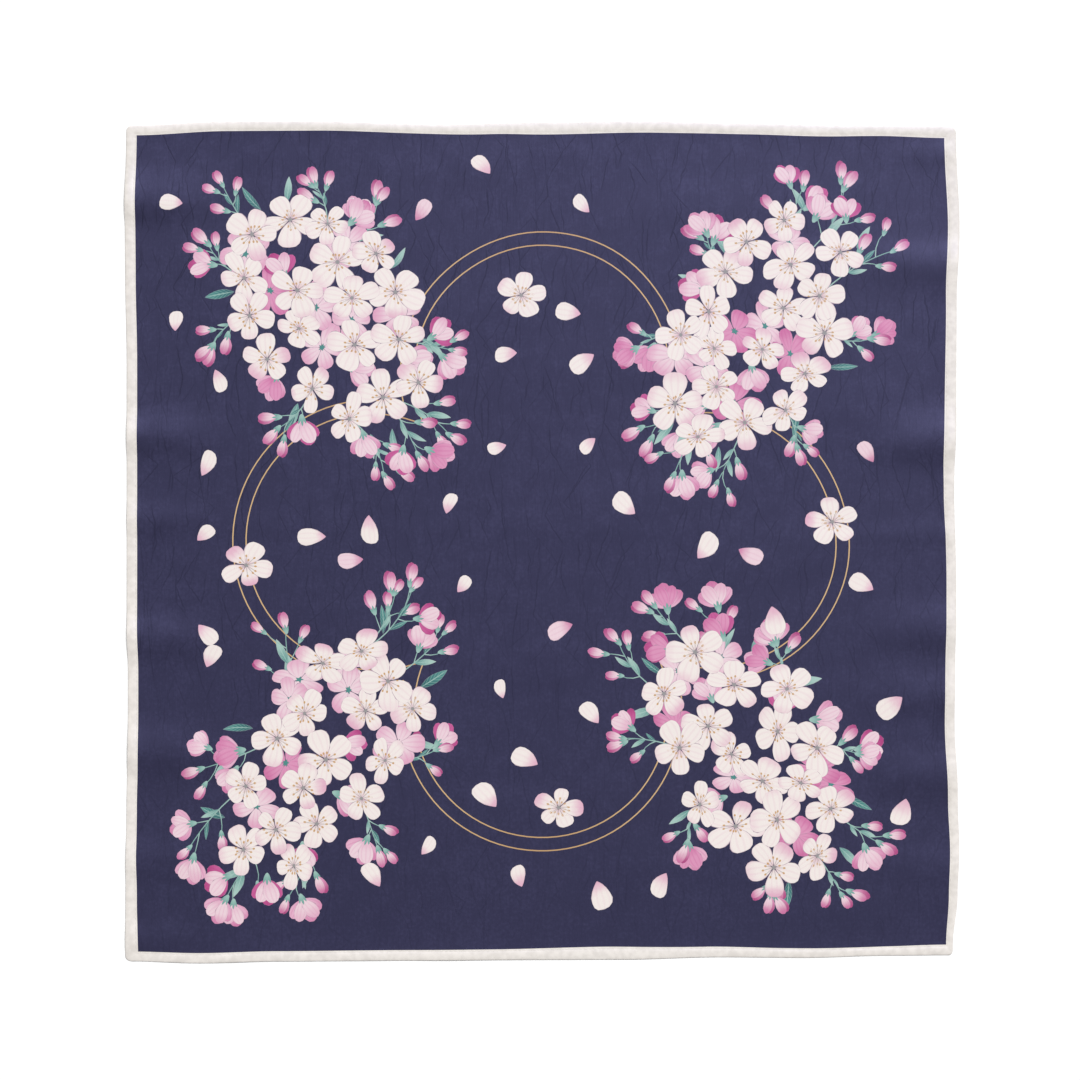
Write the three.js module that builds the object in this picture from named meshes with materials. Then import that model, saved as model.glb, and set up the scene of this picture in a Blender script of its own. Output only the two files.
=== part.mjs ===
// A square printed handkerchief, laid out flat and face up. +Y is its upper edge.
// It is one piece of thin cloth: a navy field inside a narrow cream hem, which is
// the cloth's own edge turned over twice. The cloth rests at z = 0 and lifts off
// the surface only along a few soft folds that run in from its two sides.
// All sizes are in millimetres.

import * as THREE from 'three';

const CLOTH_WIDTH = 500;
const CLOTH_LENGTH = 503;
const FIELD_THICKNESS = 1.0;
const HEM_THICKNESS = 1.8;
const RIM_THICKNESS = 1.2;
const HEM_WIDTH = { left: 6.5, right: 6.1, bottom: 7.2, top: 5.5 };
const HEM_SHOULDER = 1.2;
const CORNER_TUCK = 0.9;
const FIELD_COLUMNS = 16;
const FIELD_ROWS = 58;

// How far each edge bows out past the straight side, or in where it is negative.
// "along" is the place on the side, from the middle of the cloth.
const EDGE_BOWS = {
  left: [
    { along: -245, out: 0.5 },
    { along: -200, out: 0.3 },
    { along: -160, out: -0.2 },
    { along: -120, out: -1.1 },
    { along: -80, out: -1.1 },
    { along: -40, out: -0.4 },
    { along: 60, out: -0.4 },
    { along: 110, out: -0.4 },
    { along: 160, out: 0.5 },
    { along: 205, out: 0.8 },
    { along: 245, out: -0.1 },
  ],
  right: [
    { along: -245, out: -2.1 },
    { along: -215, out: 0.7 },
    { along: -185, out: 1.7 },
    { along: -160, out: 0.9 },
    { along: -110, out: -1.1 },
    { along: -25, out: -0.1 },
    { along: 30, out: -1.3 },
    { along: 85, out: -0.1 },
    { along: 150, out: 0.2 },
    { along: 190, out: 1.9 },
    { along: 245, out: -0.3 },
  ],
  bottom: [
    { along: -245, out: 1.2 },
    { along: -205, out: 2.4 },
    { along: -160, out: 1.3 },
    { along: -80, out: 0.8 },
    { along: 0, out: 0.3 },
    { along: 50, out: 0.2 },
    { along: 110, out: -1.3 },
    { along: 160, out: -0.9 },
    { along: 210, out: -2.2 },
    { along: 245, out: -2.5 },
  ],
  top: [
    { along: -245, out: -1.1 },
    { along: -190, out: 1.4 },
    { along: -135, out: 1.5 },
    { along: -60, out: -0.6 },
    { along: 0, out: 0.7 },
    { along: 60, out: 1.5 },
    { along: 125, out: 0.0 },
    { along: 185, out: -1.3 },
    { along: 245, out: -1.6 },
  ],
};

// Soft folds that lift the cloth at a side edge and die away inwards.
// "at" is the fold's height on the cloth, "spread" is half of its width.
const SIDE_REACH = 78;
const SIDE_FOLDS = [
  { side: 'left', at: 206, lift: 1.9, spread: 17 },
  { side: 'left', at: 65, lift: 2.0, spread: 17 },
  { side: 'left', at: -60, lift: 1.9, spread: 17 },
  { side: 'left', at: -126, lift: 1.7, spread: 21 },
  { side: 'left', at: -190, lift: 0.9, spread: 17 },
  { side: 'right', at: 169, lift: 1.8, spread: 17 },
  { side: 'right', at: 59, lift: 2.2, spread: 19 },
  { side: 'right', at: -55, lift: 1.5, spread: 15 },
  { side: 'right', at: -95, lift: 1.3, spread: 15 },
  { side: 'right', at: -142, lift: 1.5, spread: 17 },
  { side: 'right', at: -199, lift: 0.9, spread: 15 },
];

// The pressed crease across the middle, from folding the cloth in half.
// It rises a little towards the left.
const CREASE = { left: 11, right: 2, lift: 0.9, spread: 12 };

function bowAt(bows, along) {
  const first = bows[0];
  const last = bows[bows.length - 1];
  if (along <= first.along) return first.out;
  if (along >= last.along) return last.out;
  const next = bows.findIndex((bow) => bow.along > along);
  const from = bows[next - 1];
  const to = bows[next];
  const share = THREE.MathUtils.smoothstep(along, from.along, to.along);
  return THREE.MathUtils.lerp(from.out, to.out, share);
}

// The true place of a point that lies at (x, y) on the straight-sided cloth.
function onOutline(x, y) {
  const across = x / CLOTH_WIDTH + 0.5;
  const up = y / CLOTH_LENGTH + 0.5;
  const leftOut = bowAt(EDGE_BOWS.left, y);
  const rightOut = bowAt(EDGE_BOWS.right, y);
  const bottomOut = bowAt(EDGE_BOWS.bottom, x);
  const topOut = bowAt(EDGE_BOWS.top, x);
  return {
    x: x + across * rightOut - (1 - across) * leftOut,
    y: y + up * topOut - (1 - up) * bottomOut,
  };
}

// A rounded hump: 1 on its line, 0 from "spread" outwards.
function hump(distance, spread) {
  if (Math.abs(distance) >= spread) return 0;
  return 0.5 + 0.5 * Math.cos((Math.PI * distance) / spread);
}

function liftAt(x, y) {
  const across = x / CLOTH_WIDTH + 0.5;
  const creaseLine = THREE.MathUtils.lerp(CREASE.left, CREASE.right, across);
  let lift = CREASE.lift * hump(y - creaseLine, CREASE.spread);
  for (const fold of SIDE_FOLDS) {
    const inFromSide = CLOTH_WIDTH / 2 + (fold.side === 'left' ? x : -x);
    const strength = 1 - THREE.MathUtils.smoothstep(inFromSide, 0, SIDE_REACH);
    lift += fold.lift * strength * hump(y - fold.at, fold.spread);
  }
  return lift;
}

// Grid lines across one direction of the cloth. Each says which part of the
// section it lies on: the rim, the hem's crown or the single-ply field.
function stations(length, hemStart, hemEnd, fieldCount) {
  const start = -length / 2;
  const end = length / 2;
  const lines = [
    { at: start, part: 'rim' },
    { at: start + HEM_SHOULDER, part: 'hem' },
    { at: start + hemStart - HEM_SHOULDER, part: 'hem' },
  ];
  for (let i = 0; i <= fieldCount; i++) {
    const at = THREE.MathUtils.lerp(start + hemStart, end - hemEnd, i / fieldCount);
    lines.push({ at, part: 'field' });
  }
  lines.push({ at: end - hemEnd + HEM_SHOULDER, part: 'hem' });
  lines.push({ at: end - HEM_SHOULDER, part: 'hem' });
  lines.push({ at: end, part: 'rim' });
  return lines;
}

function thicknessAt(column, row) {
  if (column.part === 'rim' || row.part === 'rim') return RIM_THICKNESS;
  if (column.part === 'hem' || row.part === 'hem') return HEM_THICKNESS;
  return FIELD_THICKNESS;
}

function handkerchiefGeometry() {
  const columns = stations(CLOTH_WIDTH, HEM_WIDTH.left, HEM_WIDTH.right, FIELD_COLUMNS);
  const rows = stations(CLOTH_LENGTH, HEM_WIDTH.bottom, HEM_WIDTH.top, FIELD_ROWS);
  const lastColumn = columns.length - 1;
  const lastRow = rows.length - 1;

  const under = [];
  const upper = [];
  for (const [j, row] of rows.entries()) {
    for (const [i, column] of columns.entries()) {
      const corner = (i === 0 || i === lastColumn) && (j === 0 || j === lastRow);
      const tuck = corner ? CORNER_TUCK : 0;
      const x = column.at - Math.sign(column.at) * tuck;
      const y = row.at - Math.sign(row.at) * tuck;
      const place = onOutline(x, y);
      const lift = liftAt(x, y);
      under.push(new THREE.Vector3(place.x, place.y, lift));
      upper.push(new THREE.Vector3(place.x, place.y, lift + thicknessAt(column, row)));
    }
  }

  const indices = [];
  const size = columns.length;
  const upperStart = under.length;
  const quad = (a, b, c, d) => indices.push(a, b, c, a, c, d);
  for (let j = 0; j < lastRow; j++) {
    for (let i = 0; i < lastColumn; i++) {
      const a = j * size + i;
      quad(a, a + size, a + size + 1, a + 1);
      const b = upperStart + a;
      quad(b, b + 1, b + size + 1, b + size);
    }
  }
  const wall = (from, to) => quad(from, to, upperStart + to, upperStart + from);
  for (let i = 0; i < lastColumn; i++) {
    const top = lastRow * size + i;
    wall(i, i + 1);
    wall(top + 1, top);
  }
  for (let j = 0; j < lastRow; j++) {
    const left = j * size;
    wall(left + size, left);
    wall(left + lastColumn, left + size + lastColumn);
  }

  const geometry = new THREE.BufferGeometry().setFromPoints([...under, ...upper]);
  geometry.setIndex(indices);
  geometry.computeBoundingBox();
  const middle = geometry.boundingBox.getCenter(new THREE.Vector3());
  geometry.translate(-middle.x, -middle.y, 0);
  geometry.computeVertexNormals();
  return geometry;
}

const cloth = new THREE.MeshStandardMaterial({
  name: 'printed_cloth',
  color: 0x3c3b57,
  roughness: 0.85,
  metalness: 0,
  side: THREE.DoubleSide,
});

const handkerchief = new THREE.Mesh(handkerchiefGeometry(), cloth);
handkerchief.name = 'handkerchief';

const part = new THREE.Group();
part.name = 'printed_handkerchief';
part.add(handkerchief);

export default part;
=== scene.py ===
import math

import bpy
import numpy as np
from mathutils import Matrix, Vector
from mathutils.geometry import delaunay_2d_cdt


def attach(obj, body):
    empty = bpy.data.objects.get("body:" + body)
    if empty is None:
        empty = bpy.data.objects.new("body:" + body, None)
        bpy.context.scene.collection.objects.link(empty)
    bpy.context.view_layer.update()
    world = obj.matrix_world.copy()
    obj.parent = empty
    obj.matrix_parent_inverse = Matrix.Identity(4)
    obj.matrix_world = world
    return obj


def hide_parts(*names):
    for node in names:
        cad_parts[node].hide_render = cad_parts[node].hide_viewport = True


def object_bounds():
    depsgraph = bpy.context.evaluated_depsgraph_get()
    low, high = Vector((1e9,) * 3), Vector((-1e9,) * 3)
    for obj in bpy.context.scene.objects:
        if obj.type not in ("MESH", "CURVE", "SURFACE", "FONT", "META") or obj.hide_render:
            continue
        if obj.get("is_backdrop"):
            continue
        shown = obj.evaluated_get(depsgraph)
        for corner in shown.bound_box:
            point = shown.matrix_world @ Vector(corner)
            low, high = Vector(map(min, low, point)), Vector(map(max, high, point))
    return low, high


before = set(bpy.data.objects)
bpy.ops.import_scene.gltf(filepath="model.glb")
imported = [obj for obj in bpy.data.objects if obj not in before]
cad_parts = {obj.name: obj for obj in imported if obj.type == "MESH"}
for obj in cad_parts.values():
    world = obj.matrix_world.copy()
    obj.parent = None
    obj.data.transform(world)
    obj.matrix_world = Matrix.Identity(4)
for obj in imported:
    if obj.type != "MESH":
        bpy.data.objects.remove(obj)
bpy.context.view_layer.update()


# The place where the handkerchief is shown: a plain white table top, seen from straight
# above through a long lens, in soft light that comes mostly from beyond its upper edge.
mm = 0.001
PIXEL = 0.6023 * mm  # what one pixel of the picture covers on the table
PICTURE_PIXELS = 1080
CLOTH_MIDDLE_PIXEL = (542.1, 542.4)
LENS = 85.0
SENSOR = 36.0

camera_data = bpy.data.cameras.new("camera")
camera_data.lens = LENS
camera_data.sensor_width = SENSOR
camera = bpy.data.objects.new("camera", camera_data)
camera.location = (
    (PICTURE_PIXELS / 2 - CLOTH_MIDDLE_PIXEL[0]) * PIXEL,
    (CLOTH_MIDDLE_PIXEL[1] - PICTURE_PIXELS / 2) * PIXEL,
    PICTURE_PIXELS * PIXEL * LENS / SENSOR,
)
scene = bpy.context.scene
scene.collection.objects.link(camera)
scene.camera = camera
scene.view_settings.view_transform = "Standard"

WINDOW_HEADING = math.radians(20)  # to the right of the cloth's upper edge
WINDOW_HEIGHT = math.radians(50)
WINDOW_ACROSS = math.radians(24)
WINDOW_LIGHT = 3.0
ROOM_LIGHT = 0.35
window_data = bpy.data.lights.new("window", "SUN")
window_data.energy = WINDOW_LIGHT
window_data.angle = WINDOW_ACROSS
window = bpy.data.objects.new("window", window_data)
toward_window = Vector((
    math.sin(WINDOW_HEADING) * math.cos(WINDOW_HEIGHT),
    math.cos(WINDOW_HEADING) * math.cos(WINDOW_HEIGHT),
    math.sin(WINDOW_HEIGHT),
))
window.rotation_euler = toward_window.to_track_quat("Z", "Y").to_euler()
scene.collection.objects.link(window)

scene.world = bpy.data.worlds.new("room")
scene.world.use_nodes = True
room = scene.world.node_tree.nodes["Background"]
room.inputs["Color"].default_value = (1.0, 1.0, 1.0, 1.0)
room.inputs["Strength"].default_value = ROOM_LIGHT

TABLE_HALF = 3.0
TABLE_DROP = 0.05 * mm
table_mesh = bpy.data.meshes.new("table_top")
table_mesh.from_pydata(
    [
        (-TABLE_HALF, -TABLE_HALF, -TABLE_DROP),
        (TABLE_HALF, -TABLE_HALF, -TABLE_DROP),
        (TABLE_HALF, TABLE_HALF, -TABLE_DROP),
        (-TABLE_HALF, TABLE_HALF, -TABLE_DROP),
    ],
    [],
    [(0, 1, 2, 3)],
)
table_top = bpy.data.objects.new("table_top", table_mesh)
scene.collection.objects.link(table_top)
table_top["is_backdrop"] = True


class Wire:
    """A shader socket. Arithmetic on it adds Math nodes, and node() adds any other node."""

    def __init__(self, tree, socket):
        self.tree = tree
        self.socket = socket

    def node(self, kind, settings, inputs, outlet=0):
        made = self.tree.nodes.new(kind)
        for name, value in settings.items():
            setattr(made, name, value)
        for name, value in inputs.items():
            if isinstance(value, Wire):
                self.tree.links.new(value.socket, made.inputs[name])
            else:
                made.inputs[name].default_value = value
        return Wire(self.tree, made.outputs[outlet])

    def math(self, operation, other=0.0, third=0.0):
        return self.node("ShaderNodeMath", {"operation": operation}, {0: self, 1: other, 2: third})

    def __add__(self, other):
        return self.math("ADD", other)

    def __sub__(self, other):
        return self.math("SUBTRACT", other)

    def __mul__(self, other):
        return self.math("MULTIPLY", other)

    def __truediv__(self, other):
        return self.math("DIVIDE", other)

    def __pow__(self, other):
        return self.math("POWER", other)

    def __abs__(self):
        return self.math("ABSOLUTE")

    def __rsub__(self, other):
        return self * -1.0 + other

    __radd__ = __add__
    __rmul__ = __mul__

    def ease(self, start, end):
        """0 before start, 1 after end, and a soft step between them."""
        settings = {"interpolation_type": "SMOOTHSTEP"}
        inputs = {"Value": self, "From Min": start, "From Max": end}
        return self.node("ShaderNodeMapRange", settings, inputs)

    def blend(self, first, second):
        """Colour first where self is 0 and second where it is 1."""
        settings = {"data_type": "RGBA"}
        return self.node("ShaderNodeMix", settings, {0: self, 6: first, 7: second}, 2)

    def parts(self):
        """The three numbers of a vector."""
        split = self.node("ShaderNodeSeparateXYZ", {}, {0: self})
        return [Wire(self.tree, socket) for socket in split.socket.node.outputs]

    def joined(self, second, third):
        """A vector of self and two more numbers."""
        return self.node("ShaderNodeCombineXYZ", {}, {0: self, 1: second, 2: third})


def new_material(name):
    """A material with its Principled shader, and a Wire of its object coordinates."""
    material = bpy.data.materials.new(name)
    material.use_nodes = True
    tree = material.node_tree
    place = tree.nodes.new("ShaderNodeTexCoord").outputs["Object"]
    return material, tree.nodes["Principled BSDF"], Wire(tree, place)


def feed(shader, name, wire):
    """Lets the wire give one of the shader's inputs."""
    wire.tree.links.new(wire.socket, shader.inputs[name])


def srgb(red, green, blue):
    """A colour as a picture gives it, from 0 to 255, in the shader's own scale."""
    return tuple((v / 255 / 12.92 if v < 11 else ((v / 255 + 0.055) / 1.055) ** 2.4)
                 for v in (red, green, blue)) + (1.0,)


white_laminate, shader, place = new_material("white_table")
specks = place.node("ShaderNodeTexNoise", {}, {"Vector": place, "Scale": 60.0})
feed(shader, "Base Color", specks.blend(srgb(253, 253, 253), srgb(255, 255, 255)))
shader.inputs["Roughness"].default_value = 0.6
shader.inputs["Specular IOR Level"].default_value = 0.1
table_mesh.materials.append(white_laminate)


# The cut of the cloth and how it lies. It is one square of fine cotton, cut and hemmed by
# hand and eye, so that its edges bow in and out by a millimetre or two. Earlier folding has
# left a pressed crease across its middle and soft folds that run in from its two sides.
CLOTH_WIDTH = 500 * mm
CLOTH_LENGTH = 503 * mm
CLOTH_THICKNESS = 0.25 * mm
CORNER_RADIUS = 3.5 * mm
HEM = {"left": 6.3 * mm, "right": 6.1 * mm, "bottom": 6.4 * mm, "top": 6.1 * mm}

EDGE_BOWS = {  # (place along the side, how far the edge lies out past the straight side), mm
    "left": [(-245, 0.5), (-200, 0.3), (-160, -0.2), (-120, -1.1), (-80, -1.1), (-40, -0.4),
             (60, -0.4), (110, -0.4), (160, 0.5), (205, 0.8), (245, -0.1)],
    "right": [(-245, -2.1), (-215, 0.7), (-185, 1.7), (-160, 0.9), (-110, -1.1), (-25, -0.1),
              (30, -1.3), (85, -0.1), (150, 0.2), (190, 1.9), (245, -0.3)],
    "bottom": [(-245, 1.2), (-205, 2.4), (-160, 1.3), (-80, 0.8), (0, 0.3), (50, 0.2),
               (110, -1.3), (160, -0.9), (210, -2.2), (245, -2.5)],
    "top": [(-245, -1.1), (-190, 1.4), (-135, 1.5), (-60, -0.6), (0, 0.7), (60, 1.5),
            (125, 0.0), (185, -1.3), (245, -1.6)],
}
HEM_DRIFT = {  # (place along the side, how far the hem's inner edge lies in past its line), mm
    "left": [(-245, 1.5), (-215, 0.6), (-185, 0.0), (245, 0.0)],
    "right": [(-245, -2.0), (-215, -0.9), (-150, -0.2), (0, -0.3), (30, 0.2), (60, 1.0),
              (140, 0.3), (175, 0.8), (245, 0.9)],
    "bottom": [(-245, -0.5), (-205, -0.3), (-30, 0.0), (45, 1.4), (100, 0.0), (150, -0.6),
               (195, -1.0), (245, 0.0)],
    "top": [(-245, -0.4), (-75, -0.8), (-30, 0.0), (0, 0.9), (70, 0.5), (110, 0.0),
            (155, 0.4), (205, -0.2), (245, 0.8)],
}
DRIFT_REACH = 8 * mm  # how far into the field the drift dies away
SIDE_REACH = 72 * mm  # how far the side folds run in
SIDE_FOLDS = [  # (side, height on the cloth, lift, its width above and below its top), mm
    ("left", 205, 2.1, 26, 16), ("left", 65, 2.0, 17, 17), ("left", 15, 1.0, 13, 13),
    ("left", -57, 2.0, 18, 17), ("left", -126, 1.9, 24, 18), ("left", -190, 1.1, 18, 16),
    ("left", -238, 1.0, 14, 12),
    ("right", 235, 0.5, 12, 10), ("right", 169, 1.3, 17, 26), ("right", 59, 2.1, 27, 17),
    ("right", 4, 0.4, 11, 11), ("right", -55, 1.3, 22, 15), ("right", -95, 1.1, 21, 15),
    ("right", -144, 1.4, 21, 17), ("right", -199, 0.8, 21, 15),
]
CREASE_LEFT, CREASE_RIGHT = 11 * mm, 2 * mm
CREASE_LIFT, CREASE_SPREAD = 0.12 * mm, 7 * mm
RIPPLES = [  # (length, heading in degrees, height) of the cloth's slight waviness, mm
    (96, 78, 0.11), (71, 115, 0.09), (58, 20, 0.06), (43, 95, 0.05), (37, 152, 0.04),
]


def eased(share):
    """A soft step from 0 to 1."""
    share = np.clip(share, 0.0, 1.0)
    return share * share * (3.0 - 2.0 * share)


def bow_at(side, along, bows=EDGE_BOWS):
    """How far the side bows out at a place along it, eased between the listed places."""
    places, outs = (np.array(column) * mm for column in zip(*bows[side]))
    after = np.clip(np.searchsorted(places, along), 1, len(places) - 1)
    share = (along - places[after - 1]) / (places[after] - places[after - 1])
    return outs[after - 1] + (outs[after] - outs[after - 1]) * eased(share)


def drift_share(inward, hem):
    """How much of the drift a point has: all of it at the hem's inner edge, none at the rim."""
    past = np.maximum(inward - hem, 0.0)
    return np.clip(inward / hem, 0.0, 1.0) * np.exp(-past / DRIFT_REACH)


def on_outline(x, y):
    """The true place of a point that lies at x, y on the straight-sided cloth."""
    past_x = np.maximum(np.abs(x) - CLOTH_WIDTH / 2 + CORNER_RADIUS, 0.0)
    past_y = np.maximum(np.abs(y) - CLOTH_LENGTH / 2 + CORNER_RADIUS, 0.0)
    shrink = np.maximum(past_x, past_y) / np.maximum(np.hypot(past_x, past_y), 0.001 * mm)
    x = x - np.sign(x) * past_x * (1 - shrink) * (past_y > 0)
    y = y - np.sign(y) * past_y * (1 - shrink) * (past_x > 0)
    across = x / CLOTH_WIDTH + 0.5
    up = y / CLOTH_LENGTH + 0.5
    true_x = x + across * bow_at("right", y) - (1 - across) * bow_at("left", y)
    true_y = y + up * bow_at("top", x) - (1 - up) * bow_at("bottom", x)
    for side, inward in (("left", x + CLOTH_WIDTH / 2), ("right", CLOTH_WIDTH / 2 - x)):
        drift = drift_share(inward, HEM[side]) * bow_at(side, y, HEM_DRIFT)
        true_x = true_x + (drift if side == "left" else -drift)
    for side, inward in (("bottom", y + CLOTH_LENGTH / 2), ("top", CLOTH_LENGTH / 2 - y)):
        drift = drift_share(inward, HEM[side]) * bow_at(side, x, HEM_DRIFT)
        true_y = true_y + (drift if side == "bottom" else -drift)
    return true_x, true_y


def hump(distance, spread):
    """A rounded hump: 1 on its line, and 0 from spread outwards."""
    return np.where(np.abs(distance) < spread, 0.5 + 0.5 * np.cos(np.pi * distance / spread), 0.0)


def lift_at(x, y):
    """How far the cloth's underside stands off the table."""
    crease_line = CREASE_LEFT + (x / CLOTH_WIDTH + 0.5) * (CREASE_RIGHT - CREASE_LEFT)
    lift = CREASE_LIFT * hump(y - crease_line, CREASE_SPREAD)
    for side, at, height, above, below in SIDE_FOLDS:
        inward = CLOTH_WIDTH / 2 + (x if side == "left" else -x)
        strength = 1.0 - eased(inward / SIDE_REACH)
        spread = np.where(y > at * mm, above * mm, below * mm)
        lift = lift + height * mm * strength * hump(y - at * mm, spread)
    waves = 0.0
    for number, (length, heading, height) in enumerate(RIPPLES):
        along = x * math.cos(math.radians(heading)) + y * math.sin(math.radians(heading))
        waves = waves + height * mm * np.sin(2 * np.pi * along / (length * mm) + 1.7 * number)
    return lift + np.maximum(waves, 0.0)


# The print on the field: rounded fruit blossoms in white, pink and magenta, in four sprays
# with buds, leaves and stems, loose petals between them, and a double gold line of four lobes
# behind. It is printed in flat dyes, so it has no thickness.
NAVY = srgb(37, 36, 57)
PETAL_WHITE, PETAL_PALE = srgb(238, 229, 222), srgb(232, 206, 212)
PINK, ROSE, MAGENTA = srgb(216, 146, 178), srgb(194, 88, 142), srgb(164, 50, 108)
LEAF_DARK, LEAF_TEAL, LEAF_MINT = srgb(28, 86, 84), srgb(74, 136, 126), srgb(164, 196, 184)
STEM_GREEN = srgb(158, 188, 176)
GOLD, GOLD_SHADE = srgb(206, 172, 120), srgb(168, 122, 70)
HEART_GREY = srgb(112, 130, 128)
PLACE_LIMIT = 220 * mm  # how far from the cloth's middle a head of the print may stand

ROUND_PETAL = {"base": 0.85, "tip": 0.42}
NARROW_PETAL = {"base": 0.8, "tip": 0.55}
LEAF_FORM = {"base": 0.85, "tip": 0.95}
SEPAL_FORM = {"base": 0.45, "tip": 0.7}
EDGE_WAVE = 0.045  # how much a petal's edge waves, as a share of its half width
STEM_STEP = 5 * mm  # from one bend of a stem's line to the next

motifs = []


def turn(angle):
    """The frame of two axes that is turned by an angle."""
    return np.array([[math.cos(angle), -math.sin(angle)], [math.sin(angle), math.cos(angle)]])


def widest(form):
    """The largest value of along ** base * (1 - along) ** tip, as along runs from 0 to 1."""
    base, tip = form["base"], form["tip"]
    return (base / (base + tip)) ** base * (tip / (base + tip)) ** tip


def add_motif(outline, at, frame_of, length, colours, width=0.0, form=None, bend=0.0,
              blush=(0.0, 1.0, 0.0), lines=(0.0, 0.0, 0.0), bloom=None, seed=0.0):
    """One flat shape of the print, drawn over the shapes before it.

    outline holds its corners, frame_of turns its own axes into the cloth's, and colours are
    its dye and the dye of its blush. blush is (place, reach, strength) along the shape,
    lines is (veins, outline, leaf veins), and bloom is (middle, frame) of its blossom.
    """
    form = form or {"base": 1.0, "tip": 1.0}
    motifs.append({
        "outline": outline,
        "origin": np.array(at),
        "unturn": np.linalg.inv(frame_of) / length,
        "bend": bend,
        "form": (width / widest(form), form["base"], form["tip"]),
        "dye": colours[0][:3],
        "blush_dye": colours[1][:3],
        "blush": blush,
        "lines": lines,
        "bloom_origin": np.array(bloom[0] if bloom else at),
        "bloom_unturn": np.linalg.inv(bloom[1]) if bloom else np.zeros((2, 2)),
        "seed": seed,
    })


def petal(at, frame_of, length, width, form, colours, draw, points=9, bend=0.0, **more):
    """A petal, leaf or sepal, whose width along its own axis follows its form."""
    along = 0.5 - 0.5 * np.cos(np.linspace(0, np.pi, points))
    half = width / widest(form) * along ** form["base"] * (1 - along) ** form["tip"]
    wave = EDGE_WAVE * np.sin(np.pi * 3 * along + draw.uniform(0, 6.3))
    right = np.stack([along, -half * (1 - wave) + bend * along * along], 1)
    left = np.stack([along, half * (1 + wave) + bend * along * along], 1)[-2:0:-1]
    own = np.concatenate([right, left]) * length
    add_motif(np.array(at) + own @ frame_of.T, at, frame_of, length, colours, width, form,
              bend, seed=draw.uniform(0, 1), **more)


def stem(start, end, bow, width):
    """A thin line from start to end, bowed to one side."""
    run = end - start
    side = np.array([-run[1], run[0]])
    share = np.linspace(0, 1, max(4, int(np.linalg.norm(run) / STEM_STEP)))[:, None]
    line = start + share * run + bow * side * 4 * share * (1 - share)
    heading = np.gradient(line, axis=0)
    normal = np.stack([-heading[:, 1], heading[:, 0]], 1)
    normal /= np.linalg.norm(normal, axis=1)[:, None]
    half = width / 2 * (1.1 - 0.4 * share)
    add_motif(np.concatenate([line - normal * half, (line + normal * half)[::-1]]), start,
              turn(math.atan2(run[1], run[0])), np.linalg.norm(run), (STEM_GREEN, LEAF_TEAL),
              blush=(1.0, 1.0, 0.5))


def blossom(middle, radius, heading, tilt, colours, draw, from_behind=False):
    """A full blossom seen from the front, or a little from the side where tilt is under 1."""
    lean = turn(heading)
    foreshorten = lean @ np.diag([1.0, tilt]) @ lean.T
    first = draw.uniform(0, 2 * np.pi)
    bloom = None if from_behind else (middle, foreshorten @ turn(first) * mm)
    for k in range(5):
        angle = first + 2 * np.pi * (k + draw.uniform(-0.08, 0.08)) / 5
        frame_of = foreshorten @ turn(angle)
        at = np.array(middle) + frame_of @ np.array([0.05 * radius, 0.0])
        if draw.uniform() < 0.15 or from_behind:
            blush = (1.0, draw.uniform(0.5, 0.8), draw.uniform(0.5, 0.8))
        else:
            blush = (draw.choice([0.0, 1.0]), draw.uniform(0.25, 0.5), draw.uniform(0.1, 0.4))
        petal(at, frame_of, radius * draw.uniform(0.88, 1.06), draw.uniform(0.34, 0.43),
              ROUND_PETAL, colours, draw, bend=draw.uniform(-0.07, 0.07), blush=blush,
              lines=(0.3 if from_behind else 0.12, 0.9, 0.0), bloom=bloom)
    corners = np.linspace(0, 2 * np.pi, 11)[:-1]
    star = (0.13 if from_behind else 0.08) * (1 + 0.35 * (-1) ** np.arange(10) * from_behind)
    own = radius * (star * np.stack([np.cos(corners), np.sin(corners)])).T
    heart = (LEAF_TEAL, LEAF_MINT) if from_behind else (HEART_GREY, HEART_GREY)
    add_motif(np.array(middle) + own @ foreshorten.T, middle, foreshorten, radius, heart,
              bloom=bloom)


def opening(at, heading, size, draw):
    """A half-open blossom seen from the side, with its green cup."""
    deep = (ROSE, MAGENTA) if draw.uniform() < 0.25 else (srgb(224, 172, 194), ROSE)
    light = (PETAL_PALE, PINK) if draw.uniform() < 0.8 else (PINK, ROSE)
    for angle, colours, length in ((-0.66, deep, 0.86), (0.66, deep, 0.86), (0.15, deep, 1.0),
                                   (-0.34, light, 0.9), (0.36, light, 0.94)):
        frame_of = turn(heading + angle + draw.uniform(-0.1, 0.1))
        blush = (draw.choice([0.0, 1.0]), draw.uniform(0.4, 0.8), draw.uniform(0.4, 0.8))
        petal(at, frame_of, size * length, draw.uniform(0.27, 0.34), NARROW_PETAL, colours,
              draw, points=7, bend=0.12 * angle, blush=blush, lines=(0.25, 0.85, 0.0))
    cup(at, heading, 0.42 * size, draw)


def bud(at, heading, size, draw):
    """A closed bud: petals wrapped over each other, with its green cup."""
    for angle, colours in ((0.22, (PINK, MAGENTA)), (-0.12, (PETAL_PALE, ROSE))):
        petal(at, turn(heading + angle), size * draw.uniform(0.9, 1.05), 0.24, NARROW_PETAL,
              colours, draw, points=7, bend=-0.4 * angle, blush=(1.0, 0.75, 0.9),
              lines=(0.14, 0.75, 0.0))
    cup(at, heading, 0.46 * size, draw)


def cup(at, heading, size, draw):
    """The green sepals that hold a bud or a half-open blossom, and the tube below them."""
    back = at - turn(heading) @ np.array([0.6 * size, 0.0])
    for angle, length in ((-0.36, 1.0), (0.36, 1.0), (0.0, 1.15)):
        petal(back, turn(heading + angle), size * length, 0.13, SEPAL_FORM,
              (srgb(112, 164, 150), LEAF_MINT), draw, points=5, blush=(0.0, 0.9, 0.8),
              lines=(0.0, 0.4, 0.0))


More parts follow.
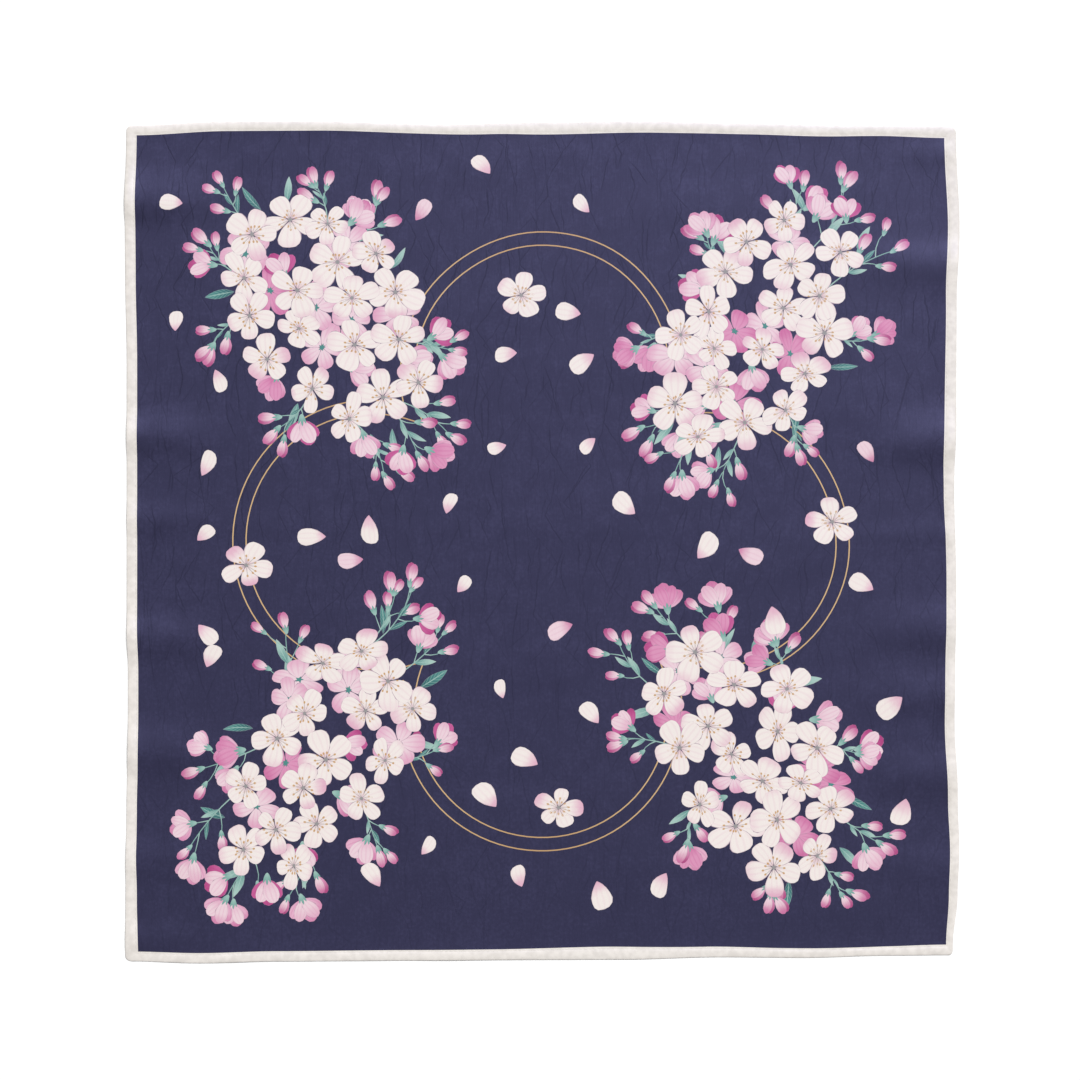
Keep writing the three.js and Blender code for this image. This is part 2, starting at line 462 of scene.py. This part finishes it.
def leaf(at, heading, size, draw):
    """A narrow pointed leaf with its rib, in a dark or a pale green."""
    colours = (LEAF_TEAL, LEAF_DARK) if draw.uniform() < 0.25 else (LEAF_MINT, LEAF_TEAL)
    petal(at, turn(heading), size, draw.uniform(0.11, 0.15), LEAF_FORM, colours, draw,
          bend=draw.uniform(-0.25, 0.25), blush=(0.0, 0.9, 0.9), lines=(0.0, 0.3, 0.8))


def loose_petal(at, heading, size, draw):
    """A fallen petal, pinker towards its narrow end."""
    petal(at, turn(heading), size, draw.uniform(0.3, 0.37), ROUND_PETAL,
          (PETAL_WHITE, PINK) if draw.uniform() < 0.7 else (PETAL_PALE, ROSE), draw,
          bend=draw.uniform(-0.15, 0.15), blush=(0.0, draw.uniform(0.4, 0.8), 0.75),
          lines=(0.1, 0.5, 0.0))


def twig(root, tip, draw):
    """A short twig: a stem with leaves, and buds and half-open blossoms on stalks."""
    run = tip - root
    length = np.linalg.norm(run)
    heading = math.atan2(run[1], run[0])
    bow = draw.uniform(-0.12, 0.12)
    heads = []
    for share, turned in ((0.42, 0.75), (0.6, -0.7), (0.78, 0.6)):
        side = np.array([-run[1], run[0]]) * bow * 4 * share * (1 - share)
        fork = root + run * share + side
        way = heading + turned * draw.uniform(0.7, 1.25)
        end = fork + turn(way) @ np.array([draw.uniform(0.2, 0.34) * length, 0.0])
        stem(fork, end, draw.uniform(-0.15, 0.15), 0.6 * mm)
        heads.append((end, way))
        if share < 0.7:
            leaf(fork, way - 1.5 * turned, draw.uniform(0.22, 0.34) * length, draw)
    stem(root, tip, bow, 0.75 * mm)
    heads.append((tip, heading))
    for end, way in heads:
        if draw.uniform() < 0.3:
            opening(end, way, draw.uniform(13, 16) * mm, draw)
        else:
            bud(end, way, draw.uniform(9, 12.5) * mm, draw)


# the double gold line, a figure of four lobes
LOBE_MIDDLE = 101 * mm
LOBE_RADII = (85 * mm, 77 * mm)
GOLD_WIDTH = 0.75 * mm
ARC_POINTS = 52
for quarter in range(4):
    middle = turn(quarter * np.pi / 2) @ np.array([LOBE_MIDDLE, 0.0])
    for radius in LOBE_RADII:
        cusp = math.pi / 4 + math.asin(LOBE_MIDDLE / radius * math.sin(math.pi / 4))
        angles = np.linspace(-cusp, cusp, ARC_POINTS) + quarter * np.pi / 2
        ring = np.stack([np.cos(angles), np.sin(angles)], 1)
        outer = middle + ring * (radius + GOLD_WIDTH / 2)
        inner = middle + ring * (radius - GOLD_WIDTH / 2)
        add_motif(np.concatenate([outer, inner[::-1]]), middle, np.eye(2), radius,
                  (GOLD, GOLD_SHADE), blush=(0.0, 0.9, 0.4))

SPRAYS = [  # (middle x, y, heading in degrees, half length, half width), mm
    (133, 128, 57, 80, 45), (-128, 134, 122, 76, 48), (-132, -127, 236, 82, 44),
    (126, -133, 300, 78, 47),
]
TWIGS = [  # (way out of the spray in degrees, how far its tip stands out, as shares)
    (4, 1.42), (38, 1.36), (-32, 1.4), (78, 1.4), (-70, 1.36), (118, 1.36), (-118, 1.42),
    (156, 1.38), (-156, 1.4), (190, 1.36),
]
LEAF_WAYS = range(12, 360, 45)  # ways out of the spray of the leaves round its edge, degrees
TWIG_ROOM = 0.55  # a twig is left out where less of its length than this has room
FULL_BLOSSOMS, FULL_SPACING = 18, 21.5 * mm
TURNED_BLOSSOMS, HALF_OPEN, SMALL_SPACING = 7, 6, 12 * mm


def scattered(draw, wanted, outer, spacing, taken, spray):
    """Places in the ellipse of the spray, at least spacing from each other and taken."""
    found = []
    for _ in range(wanted * 80):
        angle = draw.uniform(0, 2 * np.pi)
        far = outer * math.sqrt(draw.uniform(0, 1))
        own = np.array([math.cos(angle), math.sin(angle)]) * spray["reach"] * far
        at = spray["middle"] + spray["frame"] @ own
        near = [np.linalg.norm(at - other) < spacing for other in taken + found]
        if not any(near) and len(found) < wanted:
            found.append(at)
    return found


for number, (x, y, heading, half_length, half_width) in enumerate(SPRAYS):
    draw = np.random.default_rng(40 + number)
    spray = {
        "middle": np.array([x, y]) * mm,
        "frame": turn(math.radians(heading)),
        "reach": np.array([half_length, half_width]) * mm,
    }
    full = scattered(draw, FULL_BLOSSOMS, 0.97, FULL_SPACING, [], spray)
    for way in LEAF_WAYS:
        way = math.radians(way + draw.uniform(-16, 16))
        own = np.array([math.cos(way), math.sin(way)]) * spray["reach"]
        out_way = math.radians(heading) + way
        leaf(spray["middle"] + spray["frame"] @ own, out_way + draw.uniform(-0.7, 0.7),
             draw.uniform(15, 20) * mm, draw)
    for way, far in TWIGS:
        way = math.radians(way + draw.uniform(-9, 9))
        own = np.array([math.cos(way), math.sin(way)]) * spray["reach"]
        edge = spray["middle"] + spray["frame"] @ (own * 0.72)
        root = min(full, key=lambda at: np.linalg.norm(at - edge))
        run = spray["middle"] + spray["frame"] @ (own * (far + draw.uniform(-0.1, 0.1))) - root
        rooms = (PLACE_LIMIT - 6 * mm - np.abs(root)) / np.abs(run)
        room = np.where(root * run > 0, rooms, 1.0).min()
        if room > TWIG_ROOM:
            twig(root, root + run * min(1.0, room), draw)
    behind = scattered(draw, TURNED_BLOSSOMS, 0.95, SMALL_SPACING, full, spray)
    half = scattered(draw, HALF_OPEN, 1.08, SMALL_SPACING, full + behind, spray)
    for at in behind:
        colours = (PETAL_PALE, PINK) if draw.uniform() < 0.6 else (PINK, ROSE)
        blossom(at, draw.uniform(14, 16.5) * mm, draw.uniform(0, np.pi),
                draw.uniform(0.7, 0.9), colours, draw, from_behind=True)
    for at in half:
        outward = at - spray["middle"]
        opening(at, math.atan2(outward[1], outward[0]) + draw.uniform(-0.9, 0.9),
                draw.uniform(14, 17) * mm, draw)
    for at in full:
        blossom(at, draw.uniform(13.5, 18) * mm, draw.uniform(0, np.pi),
                draw.uniform(0.75, 1.0), (PETAL_WHITE, PINK), draw)

loose = np.random.default_rng(7)
LONE_BLOSSOMS = [  # (middle x, y, radius), mm
    (-12, 148, 15), (176, 12, 16), (-178, -14, 15), (10, -160, 14),
]
LOOSE_PETALS, LOOSE_SPACING = 38, 25 * mm
LOOSE_LIMIT = 222  # how far from the cloth's middle a loose petal may lie, mm
SPRAY_CLEARANCE = 1.55  # how near a spray's middle it may lie, in the spray's half sizes
GOLD_INNER, GOLD_OUTER = 66 * mm, 97 * mm  # it may not lie between these from a lobe's middle
for x, y, radius in LONE_BLOSSOMS:
    blossom((x * mm, y * mm), radius * mm, 0.0, 0.9, (PETAL_WHITE, PINK), loose)
petals_placed = [np.array([x, y]) * mm for x, y, _ in LONE_BLOSSOMS]
while len(petals_placed) < len(LONE_BLOSSOMS) + LOOSE_PETALS:
    at = loose.uniform(-LOOSE_LIMIT, LOOSE_LIMIT, 2) * mm
    clear_of_sprays = True
    for x, y, heading, half_length, half_width in SPRAYS:
        own = turn(math.radians(heading)).T @ (at / mm - [x, y])
        if np.linalg.norm(own / [half_length, half_width]) <= SPRAY_CLEARANCE:
            clear_of_sprays = False
    from_lobe = math.hypot(np.abs(at).max() - LOBE_MIDDLE, np.abs(at).min())
    off_gold = not GOLD_INNER < from_lobe < GOLD_OUTER
    spaced = all(np.linalg.norm(at - other) > LOOSE_SPACING for other in petals_placed)
    if clear_of_sprays and off_gold and spaced:
        petals_placed.append(at)
        loose_petal(at, loose.uniform(0, 2 * np.pi), loose.uniform(11, 18) * mm, loose)


# The cloth itself: one closed thin sheet. Its face is cut into triangles along every line of
# the print, so that each dye ends sharply, and the same print shows faintly on its reverse.
# The edge is turned over twice and sewn, which makes a narrow rounded hem of three plies.
STATIONS = {"bottom": 170, "right": 171, "top": 170, "left": 171}  # points along each side
COLUMN_PITCH, ROW_PITCH = 9 * mm, 5 * mm  # of the grid that lets the field bend
HEM_RISE, HEM_RISE_REACH = 0.12 * mm, 3 * mm  # the hem's plies hold up the field beside them
HEM_SECTION = [  # (share of the hem's width in from the rim, height over the table), mm
    (0.93, 0.39), (0.86, 0.36), (0.79, 0.46), (0.64, 0.58), (0.46, 0.62), (0.28, 0.59),
    (0.13, 0.50), (0.04, 0.38), (0.0, 0.24), (0.04, 0.10), (0.13, 0.02), (0.30, 0.0),
    (0.62, 0.0), (0.86, 0.18), (0.95, 0.0), (0.995, 0.04),
]
FIRST_UNDER = 9  # the first row of the section that lies under the rim
CORNER_STATIONS, CORNER_SHARE = 8, 0.014  # the close stations that round each corner
EDGE_CLEARANCE = 2.5 * mm  # the grid's points stay this far inside the hem
SAME_POINT = 1e-6  # points nearer than this are joined
PUCKER_PITCH = 3  # stations from one pucker of the hem to the next
PUCKER_SHARE = 0.09  # of the hem's height, on its crown
CROWN_HEIGHT = 0.42  # mm


def hem_ring(share):
    """Points round the cloth at a share of the hem's width in from the rim."""
    left, right = -CLOTH_WIDTH / 2 + share * HEM["left"], CLOTH_WIDTH / 2 - share * HEM["right"]
    bottom, top = (-CLOTH_LENGTH / 2 + share * HEM["bottom"],
                   CLOTH_LENGTH / 2 - share * HEM["top"])
    corners = [(left, bottom), (right, bottom), (right, top), (left, top)]
    shares = [0.0, CORNER_SHARE, 1.0 - CORNER_SHARE, 1.0]
    sides = []
    for k, side in enumerate(("bottom", "right", "top", "left")):
        start, end = np.array(corners[k]), np.array(corners[(k + 1) % 4])
        last = STATIONS[side]
        marks = [0, CORNER_STATIONS, last - CORNER_STATIONS, last]
        steps = np.interp(np.arange(last), marks, shares)
        sides.append(start + steps[:, None] * (end - start))
    return np.concatenate(sides)


field_edge = hem_ring(1.0)
grid_x = np.arange(field_edge[:, 0].min(), field_edge[:, 0].max(), COLUMN_PITCH)
grid_y = np.arange(field_edge[:, 1].min(), field_edge[:, 1].max(), ROW_PITCH)
grid = np.stack(np.meshgrid(grid_x[1:], grid_y[1:]), -1)
grid[::2, :, 0] += COLUMN_PITCH / 2
grid = grid.reshape(-1, 2)
clear_of_low = (grid > field_edge.min(0) + EDGE_CLEARANCE).all(1)
clear_of_high = (grid < field_edge.max(0) - EDGE_CLEARANCE).all(1)
points = [field_edge, grid[clear_of_low & clear_of_high]]
shapes = [list(range(len(field_edge)))]
count = sum(len(p) for p in points)
for motif in motifs:
    shapes.append(list(range(count, count + len(motif["outline"]))))
    points.append(motif["outline"])
    count += len(motif["outline"])
points = np.concatenate(points)
cut = delaunay_2d_cdt([Vector(p) for p in points], [], shapes, 1, SAME_POINT, True)
flat = np.array(cut[0])
triangles = np.array(cut[2])
owner = np.array([max(ids) for ids in cut[5]])  # the topmost shape, with 0 for the ground
to_cut = {old: new for new, olds in enumerate(cut[3]) for old in olds}

ring_flat = [hem_ring(share) for share, _ in HEM_SECTION]
rim_x, rim_y = on_outline(*hem_ring(0.0).T)
middle_x = (rim_x.min() + rim_x.max()) / 2
middle_y = (rim_y.min() + rim_y.max()) / 2


def stand(flat_xy, height):
    """Points of the lying cloth, from flat places and heights over its own underside."""
    x, y = on_outline(*flat_xy.T)
    return np.stack([x - middle_x, y - middle_y, lift_at(*flat_xy.T) + height], 1)


inward = np.minimum.reduce([
    flat[:, 0] + CLOTH_WIDTH / 2 - HEM["left"], CLOTH_WIDTH / 2 - HEM["right"] - flat[:, 0],
    flat[:, 1] + CLOTH_LENGTH / 2 - HEM["bottom"], CLOTH_LENGTH / 2 - HEM["top"] - flat[:, 1],
])
rise = HEM_RISE * np.exp(-np.maximum(inward, 0.0) / HEM_RISE_REACH)
face = stand(flat, rise + CLOTH_THICKNESS)
reverse = stand(flat, rise)

ring_count = len(field_edge)
around = np.arange(ring_count)
pucker_draw = np.random.default_rng(11)
pucker_places = np.arange(0, ring_count + PUCKER_PITCH, PUCKER_PITCH)
puckers = np.interp(around, pucker_places, pucker_draw.uniform(-1, 1, len(pucker_places)))
rings = []
for (share, height), ring in zip(HEM_SECTION, ring_flat):
    on_crown = height > CROWN_HEIGHT
    rings.append(stand(ring, height * mm * (1 + PUCKER_SHARE * puckers * on_crown)))

vertices = np.concatenate([face, reverse, *rings])
reverse_start = len(face)
ring_start = 2 * len(face)
inner = np.array([to_cut[k] for k in range(ring_count)])
rows = [inner] + [ring_start + k * ring_count + around for k in range(len(rings))]
rows.append(inner + reverse_start)
quads = []
for upper, lower in zip(rows[:-1], rows[1:]):
    quads.append(np.stack([upper, lower, np.roll(lower, -1), np.roll(upper, -1)], 1))
quads = np.concatenate(quads)

cloth_mesh = bpy.data.meshes.new("handkerchief_cloth")
under = triangles[:, ::-1] + reverse_start
cloth_mesh.from_pydata(vertices.tolist(), [], triangles.tolist() + under.tolist() + quads.tolist())
cloth_mesh.shade_smooth()
handkerchief_cloth = bpy.data.objects.new("handkerchief_cloth", cloth_mesh)
scene.collection.objects.link(handkerchief_cloth)


def add_corner_vectors(name, rows_of_corners):
    """Gives each corner of the mesh's faces three numbers for the material to read."""
    layer = cloth_mesh.attributes.new(name, "FLOAT_VECTOR", "CORNER")
    layer.data.foreach_set("vector", np.ascontiguousarray(rows_of_corners, np.float32).ravel())


# cloth_part holds one of these, an unused 0, and 1 on the reverse or 0 on the face
GROUND, PRINT, TURNED_HEM = 0.0, 1.0, 2.0
ground_row = {
    "origin": np.zeros(2), "unturn": np.zeros((2, 2)), "bend": 0.0, "form": (0.0, 1.0, 1.0),
    "dye": NAVY[:3], "blush_dye": NAVY[:3], "blush": (0.0, 1.0, 0.0), "lines": (0.0, 0.0, 0.0),
    "bloom_origin": np.zeros(2), "bloom_unturn": np.zeros((2, 2)), "seed": 0.0,
}
columns = {key: np.array([row[key] for row in [ground_row] + motifs], float) for key in ground_row}


def field_corners(corners, owners, on_reverse):
    """The print's numbers at each corner of the given triangles."""
    spots = flat[corners]
    own = np.einsum("tij,tkj->tki", columns["unturn"][owners],
                    spots - columns["origin"][owners][:, None])
    own[..., 1] -= columns["bend"][owners][:, None] * own[..., 0] ** 2
    bloom = np.einsum("tij,tkj->tki", columns["bloom_unturn"][owners],
                      spots - columns["bloom_origin"][owners][:, None])
    has_bloom = np.abs(columns["bloom_unturn"][owners]).sum((1, 2)) > 0
    unlike = np.abs(np.sin(4000 * columns["bloom_origin"][owners, 0]))
    bloom_seed = has_bloom * (0.2 + unlike)  # another number for each blossom, over 0
    shape = spots.shape[:2]

    def same(values):
        return np.broadcast_to(np.asarray(values)[:, None], shape + np.asarray(values).shape[1:])

    kind = np.where(owners > 0, PRINT, GROUND)
    return {
        "print_place": np.concatenate([own, same(columns["seed"][owners])[..., None]], -1),
        "print_form": same(columns["form"][owners]),
        "print_dye": same(columns["dye"][owners]),
        "print_blush_dye": same(columns["blush_dye"][owners]),
        "print_blush": same(columns["blush"][owners]),
        "print_lines": same(columns["lines"][owners]),
        "print_bloom": np.concatenate([bloom, same(bloom_seed)[..., None]], -1),
        "cloth_part": np.stack([same(kind), np.zeros(shape), np.full(shape, float(on_reverse))], -1),
    }


front = field_corners(triangles, owner, False)
back = field_corners(triangles[:, ::-1], owner, True)
hem_strips = [[TURNED_HEM, 0.0, float(k >= FIRST_UNDER)] for k in range(len(rows) - 1)]
hem_part = np.repeat(hem_strips, 4 * ring_count, axis=0)
for name in front:
    hem_values = hem_part if name == "cloth_part" else np.zeros((len(hem_part), 3))
    add_corner_vectors(name, np.concatenate([front[name].reshape(-1, 3),
                                             back[name].reshape(-1, 3), hem_values]))

# where each side of the cloth lies on the flat sheet that its colours are laid out on
FACE_PANE = (0.004, 0.004, 0.996, 0.74)
REVERSE_PANE = (0.004, 0.75, 0.996, 0.996)
corner_vertices = np.zeros(len(cloth_mesh.loops), np.int32)
cloth_mesh.loops.foreach_get("vertex_index", corner_vertices)
spots = vertices[corner_vertices][:, :2]
low, high = vertices[:, :2].min(0), vertices[:, :2].max(0)
share = (spots - low) / (high - low)
on_back = np.concatenate([np.zeros(triangles.size), np.ones(triangles.size), hem_part[:, 2]]) > 0.5
pane = np.where(on_back[:, None], REVERSE_PANE, FACE_PANE)
layout = pane[:, :2] + share * (pane[:, 2:] - pane[:, :2])
cloth_mesh.uv_layers.new(name="OFBake").data.foreach_set("uv", layout.astype(np.float32).ravel())

# The cotton: a navy ground with a net of thin dark lines, the dyes of the print over it,
# paler on the reverse, and the cream of the unprinted hem.
printed_cotton, shader, place = new_material("printed_cotton")
x, y, _ = place.parts()


def painted(name):
    """The three numbers that the mesh holds under a name."""
    return place.node("ShaderNodeAttribute", {"attribute_name": name}, {}, "Vector")


along, aslant, seed = painted("print_place").parts()
wide, base, tip = painted("print_form").parts()
blush_at, blush_reach, blush_strength = painted("print_blush").parts()
petal_veins, rim_line, leaf_veins = painted("print_lines").parts()
bloom_x, bloom_y, seed_of_bloom = painted("print_bloom").parts()
in_bloom = seed_of_bloom.ease(0.0, 0.01)
kind, _, on_reverse = painted("cloth_part").parts()

inside = along.math("MAXIMUM", 0.0).math("MINIMUM", 1.0)
half_width = (wide * inside**base * (1.0 - inside) ** tip).math("MAXIMUM", 0.0001)
off_axis = aslant / half_width
wobble = place.node("ShaderNodeTexNoise", {}, {"Vector": place, "Scale": 260.0, "Detail": 2.0})
from_blush = abs(along + (wobble - 0.5) * 0.25 - blush_at)
blush = (1.0 - (from_blush / blush_reach).ease(0.0, 1.0)) * blush_strength
print_colour = blush.blend(painted("print_dye"), painted("print_blush_dye"))

streaks = (off_axis * 11.0 + seed * 40.0).math("SINE").ease(0.1, 1.0)
streaks = streaks * (inside * 1.3).ease(0.0, 0.5) * petal_veins
print_colour = streaks.blend(print_colour, painted("print_blush_dye"))
rib = 1.0 - abs(off_axis).ease(0.05, 0.16)
side_ribs = ((inside * 7.0 - abs(off_axis) * 1.6) * (2 * math.pi)).math("SINE").ease(0.55, 1.0)
leaf_lines = rib.math("MAXIMUM", side_ribs * 0.5) * leaf_veins
print_colour = leaf_lines.blend(print_colour, LEAF_MINT)
to_side = half_width - abs(aslant)
rim = (1.0 - to_side.ease(0.0, 0.035)).math("MAXIMUM", inside.ease(0.965, 0.995)) * rim_line
print_colour = rim.blend(print_colour, srgb(158, 130, 146))

STAMENS = 14  # each blossom's thin stalks with their pollen tips, drawn about its middle
angle = bloom_y.math("ARCTAN2", bloom_x) * (STAMENS / (2 * math.pi)) + 20.0
radius = (bloom_x**2.0 + bloom_y**2.0) ** 0.5
spoke = angle.math("FLOOR")
chance = place.node("ShaderNodeTexWhiteNoise", {"noise_dimensions": "2D"},
                    {"Vector": spoke.joined(seed_of_bloom, 0.0)}, "Color")
chance_a, chance_b, _ = chance.parts()
aside = (angle - spoke - 0.5 + (chance_a - 0.5) * 0.55) * radius * (2 * math.pi / STAMENS)
reach = chance_b * 4.0 + 3.4
filament = (1.0 - abs(aside).ease(0.08, 0.3)) * (1.0 - radius.ease(reach - 0.3, reach))
tip_gap = ((aside * 1.35) ** 2.0 + (radius - reach) ** 2.0) ** 0.5
anther = 1.0 - tip_gap.ease(0.6, 1.05)
flush = (1.0 - radius.ease(1.5, 5.5)) * 0.35
print_colour = (in_bloom * flush).blend(print_colour, srgb(226, 178, 186))
print_colour = (in_bloom * filament * 0.7).blend(print_colour, srgb(142, 146, 138))
print_colour = (in_bloom * anther * 0.95).blend(print_colour, srgb(196, 152, 92))


def noise(scale, detail, shift):
    """Soft clouds of light and dark, from 0 to 1."""
    where = place.node("ShaderNodeMapping", {}, {"Vector": place, "Location": (shift, 0.0, 0.0)})
    return place.node("ShaderNodeTexNoise", {}, {"Vector": where, "Scale": scale, "Detail": detail})


def crackle_lines(spacing, run, shift):
    """Thin dark lines that zigzag up the cloth in straight runs, and stop and start."""
    across = x / spacing + shift
    column = across.math("FLOOR")
    along = y / run + column * 0.37
    row = along.math("FLOOR")
    kinks = []
    for step in (0.0, 1.0):
        chance = place.node("ShaderNodeTexWhiteNoise", {"noise_dimensions": "2D"},
                            {"Vector": (column + shift).joined(row + step, 0.0)}, "Value")
        kinks.append(chance * 0.9 + 0.05)
    line = kinks[0] + (kinks[1] - kinks[0]) * (along - row)
    gap = abs((across - column - line) * spacing + (wander - 0.5) * (3.5 * mm))
    strength = noise(40.0, 2.0, shift).ease(0.4, 0.62)
    return (1.0 - gap.ease(0.0, 0.7 * mm)) * strength


wander = noise(110.0, 2.0, 3.0)
crackle = crackle_lines(15 * mm, 18 * mm, 0.0)
for spacing, run, shift in ((21, 27, 7.3), (29, 22, 15.6), (37, 19, 22.1)):
    crackle = crackle.math("MAXIMUM", crackle_lines(spacing * mm, run * mm, shift))
fine_crackle = crackle_lines(9 * mm, 13 * mm, 31.2) * 0.55
upper_share = y.ease(-0.3, 0.22) * 0.7 + 0.3  # the net shows more towards the upper edge
crackle = crackle.math("MAXIMUM", fine_crackle) * upper_share
thread_place = (x * 900.0).joined(y * 60.0, 0.0)
slub = place.node("ShaderNodeTexNoise", {}, {"Vector": thread_place, "Scale": 1.0, "Detail": 2.0})
light_dye = (slub - 0.5) * 0.5 + (noise(14.0, 4.0, 5.0) - 0.5) * 0.6
light_dye = light_dye + (noise(90.0, 3.0, 6.0) - 0.5) * (upper_share * 1.1 + 0.35)
light_dye = light_dye + (noise(520.0, 3.0, 9.0) - 0.5) * 1.4 + 0.25
ground = light_dye.ease(0.0, 1.0).blend(NAVY, srgb(50, 49, 74))
ground = crackle.blend(ground, srgb(18, 17, 31))

hem_mottle = place.node("ShaderNodeTexNoise", {}, {"Vector": place, "Scale": 240.0, "Detail": 3.0})
hem_colour = hem_mottle.ease(0.3, 0.7).blend(srgb(224, 218, 210), srgb(237, 231, 223))
REVERSE_PALENESS = 0.34
is_print = kind.ease(0.4, 0.6)
is_hem = kind.ease(1.4, 1.6)
colour = is_print.blend(ground, print_colour)
colour = (on_reverse * REVERSE_PALENESS).blend(colour, srgb(196, 194, 200))
colour = is_hem.blend(colour, hem_colour)
feed(shader, "Base Color", colour)

THREAD_PITCH = 0.42 * mm
WEAVE_DEPTH = 0.12 * mm
weft = (y * (2 * math.pi / THREAD_PITCH)).math("SINE")
warp = (x * (2 * math.pi / THREAD_PITCH)).math("SINE")
relief = weft * warp * 0.3 + slub * 1.2 + crackle * -0.6
bump = place.node("ShaderNodeBump", {}, {"Strength": 0.35, "Distance": WEAVE_DEPTH, "Height": relief})
feed(shader, "Normal", bump)
shader.inputs["Roughness"].default_value = 0.45
shader.inputs["Specular IOR Level"].default_value = 0.75
shader.inputs["Specular Tint"].default_value = (0.5, 0.5, 1.0, 1.0)
cloth_mesh.materials.append(printed_cotton)

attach(handkerchief_cloth, "root")
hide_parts("handkerchief")

# The sewing of the hem: one row of lockstitch in cream cotton thread, close to the hem's
# inner edge. It shows as a row of short stitches on the face and as another on the reverse.
STITCH_PITCH, STITCH_LENGTH = 2.8 * mm, 2.3 * mm
STITCH_PLACE = 0.86  # share of the hem's width in from the rim
THREAD_HALF = 0.12 * mm
FACE_SEAM = (0.38 * mm, 0.07 * mm)  # the height of a stitch's ends, and its rise between them
REVERSE_SEAM = (0.15 * mm, -0.05 * mm)
ROUND_THREAD = [(1.0, 0.0), (0.0, 0.8), (-1.0, 0.0), (0.0, -0.8)]
STITCH_RINGS = [  # (place along the stitch, thickness there), as shares
    (0.0, 0.25), (0.12, 0.85), (0.5, 1.0), (0.88, 0.85), (1.0, 0.25),
]


def stitch_row(start, end, height, arch):
    """The corners of each stitch of one row, five rings of four to a stitch."""
    run = end - start
    length = np.linalg.norm(run)
    along, beside = run / length, np.array([-run[1], run[0]]) / length
    corners = []
    for k in range(int(length / STITCH_PITCH)):
        for step, thick in STITCH_RINGS:
            at = start + along * (k * STITCH_PITCH + step * STITCH_LENGTH)
            rise = height + arch * math.sin(math.pi * step)
            for out, up in ROUND_THREAD:
                spot = at + beside * out * thick * THREAD_HALF
                corners.append((spot[0], spot[1], rise + up * thick * THREAD_HALF))
    return np.array(corners)


inset = {side: width * STITCH_PLACE for side, width in HEM.items()}
seam_corners = [
    np.array([-CLOTH_WIDTH / 2 + inset["left"], -CLOTH_LENGTH / 2 + inset["bottom"]]),
    np.array([CLOTH_WIDTH / 2 - inset["right"], -CLOTH_LENGTH / 2 + inset["bottom"]]),
    np.array([CLOTH_WIDTH / 2 - inset["right"], CLOTH_LENGTH / 2 - inset["top"]]),
    np.array([-CLOTH_WIDTH / 2 + inset["left"], CLOTH_LENGTH / 2 - inset["top"]]),
]
stitches = []
for k in range(4):
    start, end = seam_corners[k], seam_corners[(k + 1) % 4]
    stitches.append(stitch_row(start, end, *FACE_SEAM))
    stitches.append(stitch_row(start, end, *REVERSE_SEAM))
stitches = np.concatenate(stitches)
stitches = stand(stitches[:, :2], stitches[:, 2])
sides_of_thread = len(ROUND_THREAD)
corners_each = sides_of_thread * len(STITCH_RINGS)
one_stitch = [[3, 2, 1, 0], list(range(corners_each - sides_of_thread, corners_each))]
for step in range(len(STITCH_RINGS) - 1):
    for k in range(sides_of_thread):
        here = step * sides_of_thread + k
        after = step * sides_of_thread + (k + 1) % sides_of_thread
        one_stitch.append([here, after, after + sides_of_thread, here + sides_of_thread])
first_corners = np.arange(0, len(stitches), corners_each)
stitch_faces = np.array(one_stitch) + first_corners[:, None, None]
stitch_mesh = bpy.data.meshes.new("hem_stitches")
stitch_mesh.from_pydata(stitches.tolist(), [], stitch_faces.reshape(-1, 4).tolist())
stitch_mesh.shade_smooth()
hem_stitches = bpy.data.objects.new("hem_stitches", stitch_mesh)
scene.collection.objects.link(hem_stitches)

cream_thread, shader, place = new_material("cream_thread")
fibres = place.node("ShaderNodeTexNoise", {}, {"Vector": place, "Scale": 2400.0, "Detail": 2.0})
feed(shader, "Base Color", fibres.blend(srgb(222, 217, 209), srgb(242, 238, 231)))
feed(shader, "Normal", place.node("ShaderNodeBump", {}, {
    "Strength": 0.5, "Distance": 0.05 * mm, "Height": fibres}))
shader.inputs["Roughness"].default_value = 0.6
stitch_mesh.materials.append(cream_thread)

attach(hem_stitches, "root")

low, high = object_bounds()
